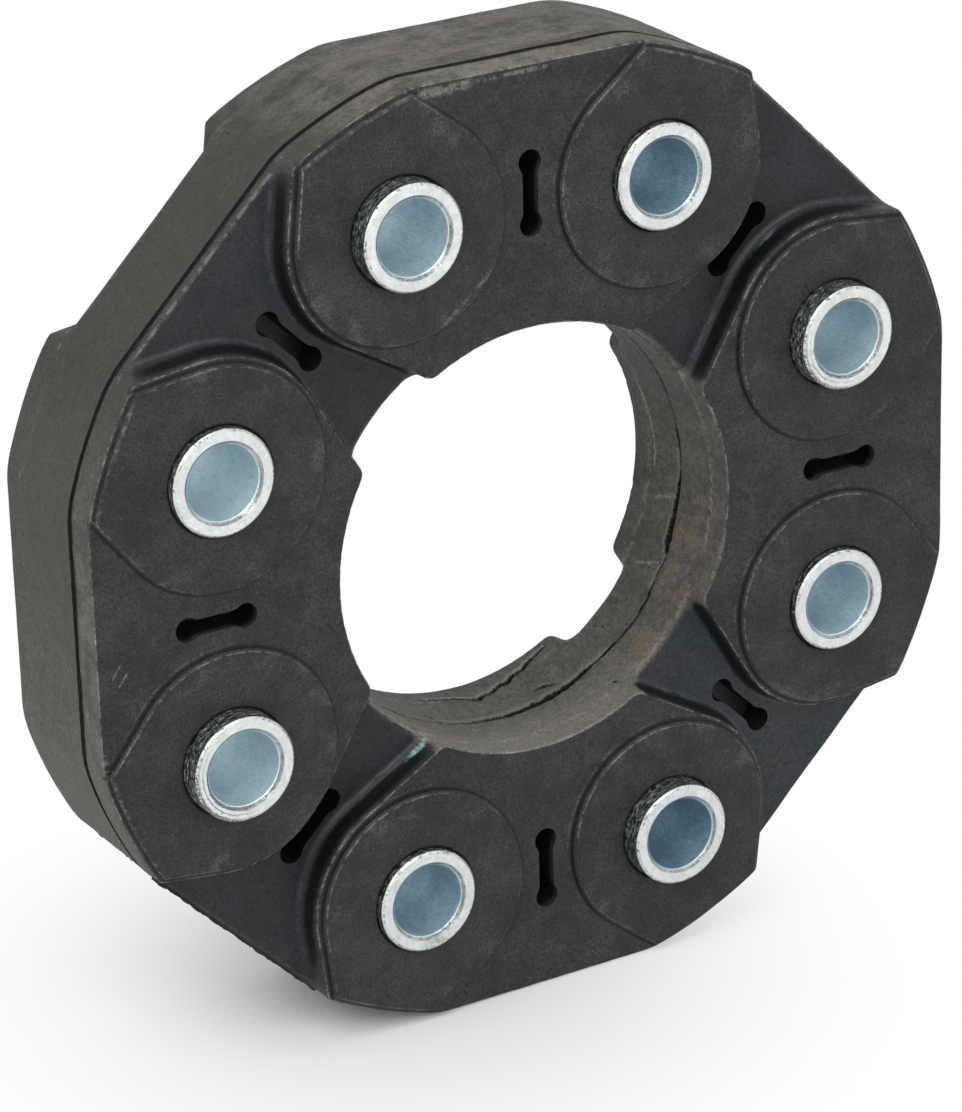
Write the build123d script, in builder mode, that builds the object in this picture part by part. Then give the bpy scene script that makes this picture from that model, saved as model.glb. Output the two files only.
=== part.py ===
from build123d import *
from math import acos, atan2, cos, degrees, radians, sin, tan
import os

# Driveshaft flex disc, in millimetres. The axis of the disc lies along Y, its front looks
# toward -Y, and it stands on the lowest of its flats. The origin is the middle of the disc.

# The bolt circle and the outline
sector_count = 4  # thick sectors, each between two bolt holes
pitch_radius = 60.0  # axis of the disc to the axis of each bolt hole
flat_cover = 7.05  # rubber outside the cord loops, out to a flat of the rim
corner_rise = 2.65  # rounded corners of the rim beyond its flats
corner_blend = 3.0  # between a flat and a rounded corner
bore_cover = 5.46  # rubber inside the cord loops, in to the open middle

# Depths of the rubber
floor_cover = 5.5  # over the loop of a thin sector, up to the floor of a valley
face_cover = 1.4  # over the end collars, up to the face of a thick sector
boss_rise = 1.0  # boss plate above the thick face

# Bosses and valleys of the rubber
boss_radius = 18.2
boss_chamfer = 0.45
ledge = 0.3  # flat strip between a boss plate and the round at the edge of its face
face_round = 0.6  # edges of the thick faces
valley_flare = 14.5  # degrees that a valley wall leans off the radius, toward the bore
wall_draft = 6.0  # degrees
floor_round = 1.6  # foot of a valley wall
floor_share = 0.8  # the most of half a narrow valley floor that the round may take
bore_round = 2.0  # where a valley runs out into the bore
rim_round = 0.9  # where a valley runs out at the rim

# Slots, one in each sector of both faces, blind
slot_shift = 1.35  # middle of a slot, outward from the middle of its sector
slot_length = 13.8
slot_end_radius = 1.95
slot_waist = 2.6
slot_blend = 2.5  # between the waist and the round ends
slot_depth = 6.0

# Mould seams: a groove round the rim and a crease round the bore
rim_seam_gap = 0.4  # behind the round at the rim of the front valleys
rim_seam_width = 1.1
rim_seam_cut = 0.55
bore_seam_width = 0.9
bore_seam_cut = 0.45

# Steel sleeves. Odd ones stand out at the front, even ones at the back.
sleeve_radius = 8.57
bolt_hole_radius = 6.08
proud_reach = 3.5  # out of the boss plate, at the end that the flange bears on
flush_reach = 1.2  # out of the boss plate, at the other end
inner_chamfer = 0.6
outer_chamfer = 0.35
sleeve_relief = 0.5  # chamfer of the rubber round each sleeve

# Cord loops, and the guide collars on the sleeves that keep them apart
hub_wall = 1.2  # of a collar, between the sleeve and a loop
winding = 5.0  # radial build of a loop
collar_lip = 0.6  # flange of a collar beyond the winding
collar_wall = 1.2  # thickness of a flange
thin_loop_width = 8.0  # the one loop of a thin sector, in the middle
thick_loop_width = 6.0  # each of the two loops of a thick sector

# Angles and places worked out from the sizes above
hole_count = 2 * sector_count
hole_step = 360 / hole_count
half_step = hole_step / 2
hub_radius = sleeve_radius + hub_wall
loop_radius = hub_radius + winding
flange_radius = loop_radius + collar_lip
hole_spacing = 2 * pitch_radius * sin(radians(half_step))
sector_radius = pitch_radius * cos(radians(half_step))
thin_loop_half = thin_loop_width / 2
thick_loop_start = thin_loop_half + collar_wall
thick_loop_end = thick_loop_start + thick_loop_width
flange_end = thick_loop_end + collar_wall
flat_distance = sector_radius + loop_radius + flat_cover
corner_radius = flat_distance + corner_rise
bore_radius = sector_radius - loop_radius - bore_cover
slot_radius = sector_radius + slot_shift

# Depths, measured from the middle plane of the disc
thin_half = thin_loop_half + floor_cover
thick_half = flange_end + face_cover
boss_half = thick_half + boss_rise
boss_inset = face_round + ledge
rim_seam_depth = thin_half - rim_round - rim_seam_gap - rim_seam_width
sleeve_length = 2 * boss_half + proud_reach + flush_reach
tiny = 0.01  # reach of a search for edges at a known place


def front_plane(depth):
    """A plane square to the axis, so far in front of the middle plane."""
    return Plane.XZ.offset(depth)


def polar_plane(radius, angle, depth):
    """A plane square to the axis, with its x direction pointing outward at that angle."""
    out = Vector(cos(radians(angle)), 0, sin(radians(angle)))
    return Plane(origin=out * radius - Vector(0, depth, 0), x_dir=out, z_dir=(0, -1, 0))


def point_from(centre, radius, angle):
    """The point at that distance and direction from a centre in a sketch."""
    return (
        centre[0] + radius * cos(radians(angle)),
        centre[1] + radius * sin(radians(angle)),
    )


def axis_distance(edge):
    """How far the middle of an edge lies from the axis of the disc."""
    middle = edge.center(CenterOf.MASS)
    return (middle.X**2 + middle.Z**2) ** 0.5


def ends_a_valley(edge):
    """True of the edges below a thick face, where a valley runs out at the bore or rim."""
    return -thick_half + tiny < edge.bounding_box().max.Y < -thin_half + tiny


# The outline of the disc, an octagon with rounded corners
with BuildSketch() as outline:
    RegularPolygon(flat_distance, hole_count, major_radius=False, rotation=half_step)
    Circle(corner_radius, mode=Mode.INTERSECT)
    fillet(outline.vertices(), corner_blend)

# One boss plate, with x pointing outward from the axis. Its two sides run from a circle
# round the bolt hole out to both ends of a rounded corner of the outline.
corner_angle = half_step - degrees(acos(flat_distance / corner_radius))
boss_tip = (corner_radius - boss_inset, 0)
boss_corner = point_from((0, 0), boss_tip[0], corner_angle)
corner_reach = Vector(boss_corner[0] - pitch_radius, boss_corner[1])
side_angle = degrees(
    atan2(corner_reach.Y, corner_reach.X) + acos(boss_radius / corner_reach.length)
)
hole_point = (pitch_radius, 0)
boss_side = point_from(hole_point, boss_radius, side_angle)
boss_turn = point_from(hole_point, boss_radius, (side_angle + 180) / 2)
with BuildSketch() as boss_plan:
    with BuildLine():
        Line(boss_side, boss_corner)
        ThreePointArc(boss_corner, point_from((0, 0), boss_tip[0], corner_angle / 2), boss_tip)
        ThreePointArc(boss_side, boss_turn, (pitch_radius - boss_radius, 0))
        mirror(about=Plane.XZ)
    make_face()

# One valley, with x pointing outward along its middle. Its walls keep a strip clear of
# the boss plates on both sides, and lean apart toward the bore and toward the rim.
wall_radius = boss_radius + boss_inset
wall_lean = (thick_half - thin_half) * tan(radians(wall_draft))
floor_half = hole_spacing / 2 - wall_radius - wall_lean
wall_centre = point_from((0, 0), pitch_radius, half_step)
inner_angle = -90 - valley_flare
outer_angle = half_step - side_angle
wall_inner = point_from(wall_centre, wall_radius, inner_angle)
wall_middle = point_from(wall_centre, wall_radius, (inner_angle + outer_angle) / 2)
wall_outer = point_from(wall_centre, wall_radius, outer_angle)
inner_end = point_from(wall_inner, pitch_radius - bore_radius, inner_angle - 90)
outer_end = point_from(wall_outer, corner_radius - sector_radius, outer_angle + 90)
with BuildSketch() as valley_plan:
    with BuildLine():
        Line((inner_end[0], 0), inner_end)
        Line(inner_end, wall_inner)
        ThreePointArc(wall_inner, wall_middle, wall_outer)
        Line(wall_outer, outer_end)
        Line(outer_end, (outer_end[0], 0))
        mirror(about=Plane.XZ)
    make_face()

# One slot, a narrow bar that widens softly to a round end at both sides
slot_end = slot_length / 2 - slot_end_radius
with BuildSketch() as slot_plan:
    with Locations((slot_radius, 0)):
        Rectangle(2 * slot_end, slot_waist)
        with Locations((-slot_end, 0), (slot_end, 0)):
            Circle(slot_end_radius)
    fillet(slot_plan.vertices(), slot_blend)


def extrude_ring(angle, near, far, outer, inner):
    """A ring round one bolt hole, between two depths."""
    with BuildSketch(polar_plane(pitch_radius, angle, near)) as ring:
        Circle(outer)
        Circle(inner, mode=Mode.SUBTRACT)
    extrude(ring.sketch, amount=far - near)


def save(piece, name):
    """Label a finished piece and write its file."""
    piece.part.label = name
    export_step(piece.part, f"parts/{name}.step")


os.makedirs("parts", exist_ok=True)
buried = []

# Bolt holes are numbered clockwise from the one left of the top
for number in range(1, hole_count + 1):
    angle = 90 + half_step - hole_step * (number - 1)
    sleeve_front = boss_half + (proud_reach if number % 2 else flush_reach)

    with BuildPart() as sleeve:
        extrude_ring(
            angle, sleeve_front - sleeve_length, sleeve_front, sleeve_radius, bolt_hole_radius
        )
        ends = sleeve.faces().filter_by(GeomType.PLANE)
        chamfer(ends.edges().filter_by(lambda e: e.radius > bolt_hole_radius + tiny), outer_chamfer)
        ends = sleeve.faces().filter_by(GeomType.PLANE)
        chamfer(ends.edges().filter_by(lambda e: e.radius < bolt_hole_radius + tiny), inner_chamfer)
    save(sleeve, f"sleeve_{number}")

    with BuildPart() as middle_collar:
        extrude_ring(angle, -thick_loop_start, -thin_loop_half, flange_radius, sleeve_radius)
        extrude_ring(angle, -thin_loop_half, thin_loop_half, hub_radius, sleeve_radius)
        extrude_ring(angle, thin_loop_half, thick_loop_start, flange_radius, sleeve_radius)
    save(middle_collar, f"middle_collar_{number}")
    buried.append(middle_collar.part)

    for place, side in (("front", 1), ("rear", -1)):
        with BuildPart() as end_collar:
            extrude_ring(
                angle, side * thick_loop_start, side * thick_loop_end, hub_radius, sleeve_radius
            )
            extrude_ring(
                angle, side * thick_loop_end, side * flange_end, flange_radius, sleeve_radius
            )
        save(end_collar, f"{place}_collar_{number}")
        buried.append(end_collar.part)

# Two loops of cord in each thick sector, and one in each thin sector between them
for number in range(1, sector_count + 1):
    thick_angle = 90 - 2 * hole_step * (number - 1)
    for place, angle, near, far in (
        ("front", thick_angle, thick_loop_start, thick_loop_end),
        ("rear", thick_angle, -thick_loop_end, -thick_loop_start),
        ("middle", thick_angle - hole_step, -thin_loop_half, thin_loop_half),
    ):
        with BuildPart() as cord_loop:
            with BuildSketch(polar_plane(sector_radius, angle, near)):
                SlotCenterToCenter(hole_spacing, 2 * loop_radius, rotation=90)
                SlotCenterToCenter(hole_spacing, 2 * hub_radius, rotation=90, mode=Mode.SUBTRACT)
            extrude(amount=far - near)
        save(cord_loop, f"{place}_loop_{number}")
        buried.append(cord_loop.part)

# The boss plates of the front, with their feet as deep in the rubber as the end collars
with BuildPart() as boss_plates:
    with BuildSketch(front_plane(flange_end)):
        with PolarLocations(0, hole_count, start_angle=half_step):
            add(boss_plan.sketch)
    extrude(amount=boss_half - flange_end)
    boss_faces = boss_plates.faces().filter_by_position(
        Axis.Y, -boss_half - tiny, -boss_half + tiny
    )
    chamfer(boss_faces.edges(), boss_chamfer)

with BuildPart() as rubber_body:
    # The front half is cut from a blank, so that the valley floors get their rounds
    # before the rim and the bore are cut to size
    with BuildSketch(front_plane(0)):
        Circle(2 * corner_radius)
    extrude(amount=thick_half)
    with BuildSketch(front_plane(thick_half)):
        with PolarLocations(0, sector_count, start_angle=hole_step):
            add(valley_plan.sketch)
    extrude(amount=thin_half - thick_half, taper=wall_draft, mode=Mode.SUBTRACT)
    floors = rubber_body.faces().filter_by_position(Axis.Y, -thin_half - tiny, -thin_half + tiny)
    fillet(floors.edges(), min(floor_round, floor_share * floor_half))
    with BuildSketch(front_plane(0)):
        add(outline.sketch)
        Circle(bore_radius, mode=Mode.SUBTRACT)
    extrude(amount=thick_half, mode=Mode.INTERSECT)

    valley_ends = rubber_body.edges().filter_by(ends_a_valley)
    fillet(valley_ends.filter_by(lambda e: axis_distance(e) < bore_radius + tiny), bore_round)
    valley_ends = rubber_body.edges().filter_by(ends_a_valley)
    fillet(valley_ends.filter_by(lambda e: axis_distance(e) > flat_distance - tiny), rim_round)
    face_edges = rubber_body.edges().filter_by_position(
        Axis.Y, -thick_half - tiny, -thick_half + tiny
    )
    fillet(face_edges, face_round)

    # Boss plates, bolt holes and slots, then the rear half
    add(boss_plates.part)
    with BuildSketch(front_plane(0)):
        with PolarLocations(pitch_radius, hole_count, start_angle=half_step):
            Circle(sleeve_radius)
    extrude(amount=boss_half, mode=Mode.SUBTRACT)
    for surface, first_angle in ((thick_half, 0), (thin_half, hole_step)):
        with BuildSketch(front_plane(surface - slot_depth)):
            with PolarLocations(0, sector_count, start_angle=first_angle):
                add(slot_plan.sketch)
        extrude(amount=boss_half - surface + slot_depth, mode=Mode.SUBTRACT)
    hole_rims = rubber_body.edges().filter_by_position(
        Axis.Y, -boss_half - tiny, -boss_half + tiny
    )
    chamfer(
        hole_rims.filter_by(GeomType.CIRCLE).filter_by(
            lambda e: abs(e.radius - sleeve_radius) < tiny
        ),
        sleeve_relief,
    )
    mirror(about=Plane.XZ)

    # Seams left by the mould
    with BuildSketch(front_plane(rim_seam_depth)):
        Circle(corner_radius + rim_seam_cut)
        offset(outline.sketch, -rim_seam_cut, mode=Mode.SUBTRACT)
    extrude(amount=rim_seam_width, mode=Mode.SUBTRACT)
    with BuildSketch(Plane.XY):
        with BuildLine():
            Polyline(
                (bore_radius, -bore_seam_width / 2),
                (bore_radius + bore_seam_cut, 0),
                (bore_radius, bore_seam_width / 2),
                close=True,
            )
        make_face()
    revolve(axis=Axis.Y, mode=Mode.SUBTRACT)

    # The rubber is moulded round the loops and collars, so they leave their own shape in it
    for piece in buried:
        add(piece, mode=Mode.SUBTRACT)
save(rubber_body, "rubber_body")
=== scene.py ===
import math

import bmesh
import bpy
import numpy as np
from mathutils import Matrix, Vector, noise


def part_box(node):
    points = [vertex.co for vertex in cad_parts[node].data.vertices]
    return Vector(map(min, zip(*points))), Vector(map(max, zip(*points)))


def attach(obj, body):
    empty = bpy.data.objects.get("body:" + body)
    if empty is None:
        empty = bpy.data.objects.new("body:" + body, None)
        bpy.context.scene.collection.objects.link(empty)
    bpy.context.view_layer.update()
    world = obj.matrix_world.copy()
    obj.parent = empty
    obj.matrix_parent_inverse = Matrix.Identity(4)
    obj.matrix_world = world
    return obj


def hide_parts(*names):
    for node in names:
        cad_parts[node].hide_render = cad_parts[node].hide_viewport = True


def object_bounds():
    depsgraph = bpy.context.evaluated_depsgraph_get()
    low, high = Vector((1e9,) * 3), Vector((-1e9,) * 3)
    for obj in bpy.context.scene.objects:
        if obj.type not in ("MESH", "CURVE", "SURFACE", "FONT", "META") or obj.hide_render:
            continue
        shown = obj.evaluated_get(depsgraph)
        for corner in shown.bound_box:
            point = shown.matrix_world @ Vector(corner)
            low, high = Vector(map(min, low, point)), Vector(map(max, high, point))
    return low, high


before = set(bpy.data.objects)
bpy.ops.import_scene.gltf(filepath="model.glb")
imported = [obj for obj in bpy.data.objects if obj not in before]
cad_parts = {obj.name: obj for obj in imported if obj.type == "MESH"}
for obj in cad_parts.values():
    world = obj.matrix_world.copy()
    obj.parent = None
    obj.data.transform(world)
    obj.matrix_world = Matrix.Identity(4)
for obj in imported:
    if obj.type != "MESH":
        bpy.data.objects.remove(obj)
cad_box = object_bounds()

# All sizes are millimetres, and this turns them into the frame's metres
MM = 0.001

# What the boxes of the nodes give
sleeve_low, sleeve_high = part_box("sleeve_1")
SLEEVE_RADIUS = (sleeve_high.x - sleeve_low.x) / 2 / MM
PITCH_RADIUS = math.hypot(sleeve_low.x + sleeve_high.x, sleeve_low.z + sleeve_high.z) / 2 / MM
_, rubber_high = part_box("rubber_body")
FLAT_DISTANCE = rubber_high.x / MM
BOSS_HALF = rubber_high.y / MM

# Sizes of the moulding that no box gives
SLEEVE_COUNT = 8
HOLE_STEP = math.radians(360 / SLEEVE_COUNT)
BORE_RADIUS = 35.2
BOLT_HOLE_RADIUS = 6.08
CORNER_RADIUS = FLAT_DISTANCE + 2.65
BOSS_RADIUS = 18.2
BOSS_INSET = 0.9
THIN_HALF = 9.5
THICK_HALF = 13.8
BURIED_HALF = 12.45

# A boss plate's straight sides touch its circle at this angle, seen from the bolt hole
CORNER_ANGLE = HOLE_STEP / 2 - math.acos(FLAT_DISTANCE / CORNER_RADIUS)
TIP_RADIUS = CORNER_RADIUS - BOSS_INSET
corner_out = TIP_RADIUS * math.cos(CORNER_ANGLE) - PITCH_RADIUS
corner_side = TIP_RADIUS * math.sin(CORNER_ANGLE)
SIDE_ANGLE = math.atan2(corner_side, corner_out) + math.acos(
    BOSS_RADIUS / math.hypot(corner_out, corner_side)
)


class Value:
    """One output of a node. Sums and products of values add Math nodes."""

    def __init__(self, nodes, socket):
        self.nodes = nodes
        self.socket = socket

    def maths(self, operation, *others):
        return self.nodes.maths(operation, self, *others)

    def __add__(self, other):
        return self.nodes.maths("ADD", self, other)

    def __radd__(self, other):
        return self.nodes.maths("ADD", other, self)

    def __sub__(self, other):
        return self.nodes.maths("SUBTRACT", self, other)

    def __rsub__(self, other):
        return self.nodes.maths("SUBTRACT", other, self)

    def __mul__(self, other):
        return self.nodes.maths("MULTIPLY", self, other)

    def __rmul__(self, other):
        return self.nodes.maths("MULTIPLY", other, self)

    def __truediv__(self, other):
        return self.nodes.maths("DIVIDE", self, other)


class Nodes:
    """A node tree of a material, the world or Geometry Nodes, and the way its nodes are added."""

    def __init__(self, tree):
        self.tree = tree
        self.tree.nodes.clear()

    def node(self, kind, settings, inputs, output=0):
        """Add a node: its settings first, then a value or a link for each of its sockets."""
        made = self.tree.nodes.new(kind)
        for name, setting in settings.items():
            setattr(made, name, setting)
        for name, value in inputs.items():
            if isinstance(value, Value):
                self.tree.links.new(value.socket, made.inputs[name])
            else:
                made.inputs[name].default_value = value
        if output is None:
            return None
        return Value(self, made.outputs[output])

    def maths(self, operation, *values):
        return self.node("ShaderNodeMath", {"operation": operation}, dict(enumerate(values)))

    def vector_maths(self, operation, *vectors, output=0):
        settings = {"operation": operation}
        return self.node("ShaderNodeVectorMath", settings, dict(enumerate(vectors)), output)

    def scaled(self, vector, factor):
        """A vector or a colour times a number."""
        return self.node(
            "ShaderNodeVectorMath", {"operation": "SCALE"}, {0: vector, "Scale": factor}
        )


class Finish(Nodes):
    """One material and the patterns that it is made from. All lengths are millimetres."""

    def __init__(self, name):
        self.material = bpy.data.materials.new(name)
        self.material.use_nodes = True
        super().__init__(self.material.node_tree)
        self.place = self.scaled(self.node("ShaderNodeTexCoord", {}, {}, "Object"), 1 / MM)
        self.across, self.depth, self.up = self.axes(self.place)

    def axes(self, vector):
        """The three parts of a vector."""
        x = self.node("ShaderNodeSeparateXYZ", {}, {0: vector}, "X")
        outputs = x.socket.node.outputs
        return x, Value(self, outputs["Y"]), Value(self, outputs["Z"])

    def step(self, value, start, end):
        """A soft step, 0 before the start and 1 past the end."""
        return self.node(
            "ShaderNodeMapRange",
            {"interpolation_type": "SMOOTHSTEP"},
            {"Value": value, "From Min": start, "From Max": end, "To Min": 0.0, "To Max": 1.0},
        )

    def near(self, value, centre, reach):
        """A soft band, 1 at a value and 0 beyond the reach on both sides."""
        return 1 - self.step((value - centre).maths("ABSOLUTE"), reach * 0.3, reach)

    def stretched(self, across, depth, up):
        """The place with each axis scaled, for a pattern that is drawn out along one."""
        return self.vector_maths("MULTIPLY", self.place, (across, depth, up))

    def noise(self, size, detail=3.0, roughness=0.55, place=None, distortion=0.0):
        """Soft noise round 0.5, with features of about that size."""
        return self.node(
            "ShaderNodeTexNoise",
            {"noise_dimensions": "3D"},
            {
                "Vector": place or self.place,
                "Scale": 1 / size,
                "Detail": detail,
                "Roughness": roughness,
                "Distortion": distortion,
            },
            "Fac",
        )

    def specks(self, spacing, reach, rarity):
        """Small round specks in some of the cells of a scatter."""
        apart = self.node(
            "ShaderNodeTexVoronoi",
            {"feature": "F1"},
            {"Vector": self.place, "Scale": 1 / spacing},
            "Distance",
        )
        chosen, _, _ = self.axes(Value(self, apart.socket.node.outputs["Color"]))
        return (1 - self.step(apart, reach * 0.5, reach)) * self.step(
            chosen, rarity, rarity + 0.05
        )

    def scratches(self, size, width, place=None):
        """Thin wandering lines, where a soft noise passes its middle."""
        field = self.noise(size, 2.0, 0.5, place)
        return 1 - self.step((field - 0.5).maths("ABSOLUTE"), width * 0.3, width)

    def mix(self, factor, first, second):
        """Between two colours."""
        return self.node(
            "ShaderNodeMix",
            {"data_type": "RGBA", "clamp_factor": True},
            {0: factor, 6: colour(first), 7: colour(second)},
            2,
        )

    def attribute(self, name):
        return self.node("ShaderNodeAttribute", {"attribute_name": name}, {}, "Fac")

    def facing(self):
        """How squarely the surface looks along the axis of the disc, from 0 to 1."""
        normal = self.node("ShaderNodeTexCoord", {}, {}, "Normal")
        return self.axes(normal)[1].maths("ABSOLUTE")

    def around_hole(self):
        """The place from the nearest bolt hole: outward, sideways and in a straight line.

        The last value tells how far it lies to the upper left of the hole, from -1 to 1.
        """
        radius = (self.across * self.across + self.up * self.up).maths("SQRT")
        angle = self.up.maths("ARCTAN2", self.across)
        turns = (angle / HOLE_STEP - 0.5).maths("ROUND") + 0.5
        off = angle - turns * HOLE_STEP
        outward = radius * off.maths("COSINE") - PITCH_RADIUS
        sideways = (radius * off.maths("SINE")).maths("ABSOLUTE")
        hole = (outward * outward + sideways * sideways).maths("SQRT")
        middle = turns * HOLE_STEP
        to_left = middle.maths("COSINE") * PITCH_RADIUS - self.across
        upward = self.up - middle.maths("SINE") * PITCH_RADIUS
        return outward, sideways, hole, (to_left + upward) / (hole * math.sqrt(2))

    def inside_outline(self):
        """How far the place lies inside the outline of the disc."""
        radius = (self.across * self.across + self.up * self.up).maths("SQRT")
        angle = self.up.maths("ARCTAN2", self.across)
        off = angle - (angle / HOLE_STEP).maths("ROUND") * HOLE_STEP
        flat = FLAT_DISTANCE - radius * off.maths("COSINE")
        return radius, flat.maths("MINIMUM", CORNER_RADIUS - radius)

    def close_to(self, point, reach):
        """1 at a point of the disc and 0 beyond the reach."""
        apart = self.vector_maths("DISTANCE", self.place, point, output="Value")
        return 1 - self.step(apart, 0.0, reach)

    def streak(self, start, end, reach):
        """1 along a straight mark between two points, fading at its sides and ends."""
        start, end = Vector(start), Vector(end)
        run = end - start
        from_start = self.vector_maths("SUBTRACT", self.place, start)
        along = self.vector_maths("DOT_PRODUCT", from_start, run, output="Value")
        share = (along / run.length_squared).maths("MAXIMUM", 0.0).maths("MINIMUM", 1.0)
        foot = self.scaled(run, share)
        apart = self.vector_maths("DISTANCE", from_start, foot, output="Value")
        ends = self.step(share, 0.0, 0.12) * (1 - self.step(share, 0.80, 1.0))
        return (1 - self.step(apart, reach * 0.25, reach)) * ends

    def surface(self, inputs, height=None):
        """The shader and the output. Height is in millimetres."""
        if height is not None:
            inputs["Normal"] = self.node(
                "ShaderNodeBump", {}, {"Height": height, "Distance": MM, "Strength": 1.0}
            )
        shader = self.node("ShaderNodeBsdfPrincipled", {}, inputs)
        self.node("ShaderNodeOutputMaterial", {}, {"Surface": shader}, None)
        return self.material


def colour(value):
    """A colour as a socket takes it."""
    return value if isinstance(value, Value) else (*value, 1.0)


# Colours of the rubber, linear red, green and blue. Each pair is its darkest and its palest
FACE_PAIR = (0.0155, 0.0163, 0.0176), (0.0325, 0.0324, 0.0318)
VALLEY_PAIR = (0.0085, 0.0112, 0.0140), (0.0200, 0.0165, 0.0220)
OPEN_VALLEY_PAIR = (0.0185, 0.0300, 0.0330), (0.0340, 0.0265, 0.0345)
RIM_PAIR = (0.045, 0.0430, 0.0385), (0.088, 0.0835, 0.0750)
BORE_PAIR = (0.055, 0.052, 0.047), (0.108, 0.103, 0.094)
# Painted shadow on the valley floors round the slots
VALLEY_SHADE = (0.0030, 0.0045, 0.0060)
# Painted shade on the steep walls of the valleys
VALLEY_WALL_SHADE = (0.0045, 0.0050, 0.0058)
VALLEY_GLINT = (0.040, 0.060, 0.068)
# Worn and painted lit lines along the valleys' front edges at the upper left
VALLEY_RIM_WEAR_AND_LIGHT = (0.15, 0.147, 0.137)
VALLEY_LIP_WEAR_AND_LIGHT = (0.11, 0.106, 0.097)
# Painted shade on the rim's upper left
RIM_SHADE = (0.036, 0.0350, 0.0320)
# Painted light on the rim's lower left and left
RIM_PAINTED_LIGHT = (0.115, 0.108, 0.096)
# Scuffs and painted light on the top of the rim
RIM_SCUFF_AND_TOP_LIGHT = (0.165, 0.155, 0.137)
# A rubbed and painted lighter lip of the rim
RIM_LIP = (0.175, 0.165, 0.148)
# Painted shadow under the flash
RIM_EDGE_SHADOW = (0.010, 0.010, 0.0105)
# Painted light on the lower and front part of the bore
BORE_PAINTED_LIGHT = (0.190, 0.182, 0.166)
# Painted highlight round the mouth of the bore
BORE_MOUTH_HIGHLIGHT = (0.270, 0.260, 0.240)
BORE_STAIN = (0.140, 0.102, 0.054)
BORE_NICK = (0.026, 0.025, 0.023)
WORN_EDGE = (0.230, 0.223, 0.208)
# Painted shade at the foot of each boss plate
PLATE_LEDGE_SHADE = (0.006, 0.006, 0.0065)
# Painted highlight along the boss plates' edges
PLATE_EDGE_HIGHLIGHT = (0.17, 0.167, 0.157)
PLATE_RUB = (0.075, 0.074, 0.070)
DUST = (0.17, 0.17, 0.165)
# Painted highlight on a crack's lip, and painted shade inside a crack
CRACK_LIP_HIGHLIGHT = (0.380, 0.368, 0.342)
CRACK_SHADE = (0.006, 0.006, 0.006)
# Painted shade in the gap round each sleeve and in the rim's groove
GAP_SHADE = (0.007, 0.007, 0.0075)
GROOVE_SHADE = (0.012, 0.0115, 0.011)
# Painted highlights on the feet of the valleys
TEAL_HIGHLIGHT = (0.30, 0.48, 0.50)
PALE = (0.20, 0.195, 0.18)

# Single marks on the front, as start, end, reach, strength and colour. The teal ones are painted
# highlights on the feet of the valleys
VALLEY_FOOT = -10.3
MARKS = [
    ((-28.0, VALLEY_FOOT, -37.8), (-18.5, VALLEY_FOOT, -29.7), 0.80, 0.85, TEAL_HIGHLIGHT),
    ((-35.0, VALLEY_FOOT + 0.5, -43.9), (-23.0, VALLEY_FOOT + 0.3, -33.5), 1.20, 0.60, TEAL_HIGHLIGHT),
    ((40.5, VALLEY_FOOT, 30.2), (31.4, VALLEY_FOOT, 19.7), 0.65, 0.50, TEAL_HIGHLIGHT),
    ((41.7, VALLEY_FOOT, 36.3), (48.7, VALLEY_FOOT, 42.6), 0.50, 0.25, TEAL_HIGHLIGHT),
    ((47.5, VALLEY_FOOT, 41.8), (57.3, VALLEY_FOOT, 44.1), 0.50, 0.25, TEAL_HIGHLIGHT),
    ((-72.0, -THICK_HALF, -4.2), (-73.9, -THICK_HALF, -6.7), 0.30, 0.5, PALE),
    ((-72.9, -THICK_HALF, -2.6), (-74.8, -THICK_HALF, -5.1), 0.25, 0.4, PALE),
    ((-20.0, -THICK_HALF, 75.6), (-9.0, -THICK_HALF, 75.9), 1.10, 0.6, PALE),
    ((-9.5, -THICK_HALF, 76.0), (6.0, -THICK_HALF, 76.2), 0.50, 0.5, PALE),
    ((-17.1, -BOSS_HALF, 38.7), (-6.7, -BOSS_HALF, 47.0), 0.50, 0.3, PALE),
    ((41.0, -BOSS_HALF, 36.4), (45.0, -BOSS_HALF, 40.6), 1.60, 0.35, PALE),
    ((-78.0, -THICK_HALF, -14.0), (-75.5, -THICK_HALF, -22.0), 0.80, 0.5, PALE),
]


def on_bore(angle, depth):
    """A point on the wall of the open middle."""
    turn = math.radians(angle)
    return (BORE_RADIUS * math.cos(turn), depth, BORE_RADIUS * math.sin(turn))


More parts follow.
